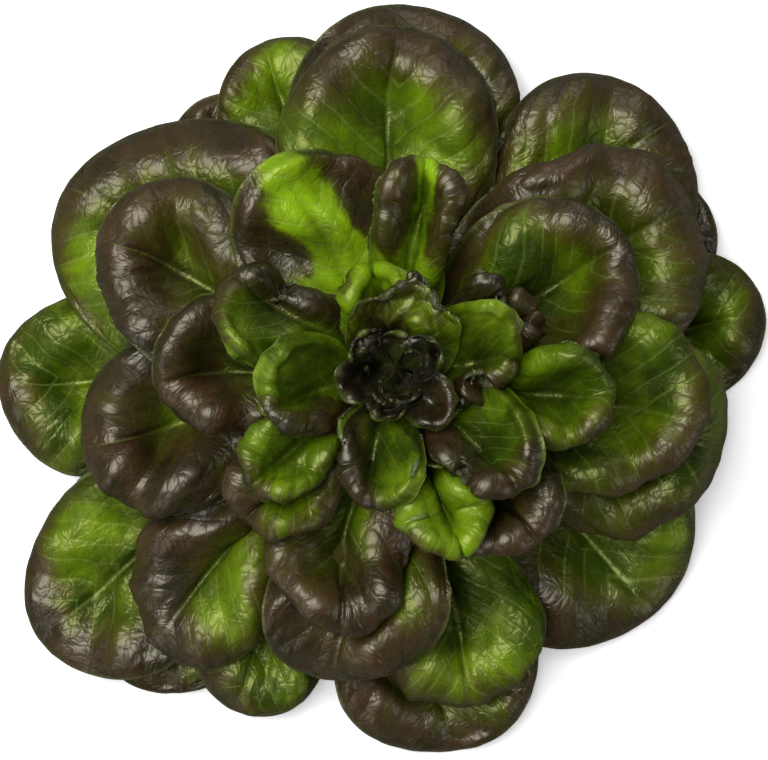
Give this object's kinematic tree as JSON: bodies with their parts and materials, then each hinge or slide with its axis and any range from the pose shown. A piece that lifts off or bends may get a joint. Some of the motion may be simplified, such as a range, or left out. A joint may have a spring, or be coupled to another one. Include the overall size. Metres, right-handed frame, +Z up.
{
  "type": "butterhead lettuce",
  "caption": "Open head of red butterhead lettuce: a spreading rosette of round, glossy, reddish brown and green leaves with rolled rims on a pale cut stem.",
  "frame": {"origin": "centre of the stem's cut face, which is the lowest flat face the head stands on", "axes": "+Z up along the growth axis, out of the heart; +Y towards the top of the view from straight above and +X towards its right"},
  "size_m": [0.2667, 0.2606, 0.1121],
  "materials": {
    "stem": "pale greenish white cut stem, matt and moist",
    "leaf_outer": "soft semi-gloss leaf, olive green with a reddish brown rim",
    "leaf_middle": "soft semi-gloss leaf, reddish brown over green",
    "leaf_upper": "soft semi-gloss leaf, dark reddish brown with green hollows",
    "leaf_inner": "soft semi-gloss leaf, green with dark rims and lime edges",
    "heart": "small crinkled leaves, dark with lime edges"
  },
  "bodies": {
    "root": {"heart": "heart", "leaf_inner_01": "leaf_inner", "leaf_inner_02": "leaf_inner", "leaf_inner_03": "leaf_inner", "leaf_inner_04": "leaf_inner", "leaf_inner_05": "leaf_inner", "leaf_inner_06": "leaf_inner", "leaf_inner_07": "leaf_inner", "leaf_inner_08": "leaf_inner", "leaf_inner_09": "leaf_inner", "leaf_inner_10": "leaf_inner", "leaf_middle_01": "leaf_middle", "leaf_middle_02": "leaf_middle", "leaf_middle_03": "leaf_middle", "leaf_middle_04": "leaf_middle", "leaf_middle_05": "leaf_middle", "leaf_middle_06": "leaf_middle", "leaf_middle_07": "leaf_middle", "leaf_middle_08": "leaf_middle", "leaf_outer_01": "leaf_outer", "leaf_outer_02": "leaf_outer", "leaf_outer_03": "leaf_outer", "leaf_outer_04": "leaf_outer", "leaf_outer_05": "leaf_outer", "leaf_outer_06": "leaf_outer", "leaf_outer_07": "leaf_outer", "leaf_outer_08": "leaf_outer", "leaf_outer_09": "leaf_outer", "leaf_outer_10": "leaf_outer", "leaf_outer_11": "leaf_outer", "leaf_outer_12": "leaf_outer", "leaf_outer_13": "leaf_outer", "leaf_upper_01": "leaf_upper", "leaf_upper_02": "leaf_upper", "leaf_upper_03": "leaf_upper", "leaf_upper_04": "leaf_upper", "leaf_upper_05": "leaf_upper", "leaf_upper_06": "leaf_upper", "leaf_upper_07": "leaf_upper", "leaf_upper_08": "leaf_upper", "leaf_upper_09": "leaf_upper", "leaf_upper_10": "leaf_upper", "stem": "stem"}
  },
  "joints": []
}
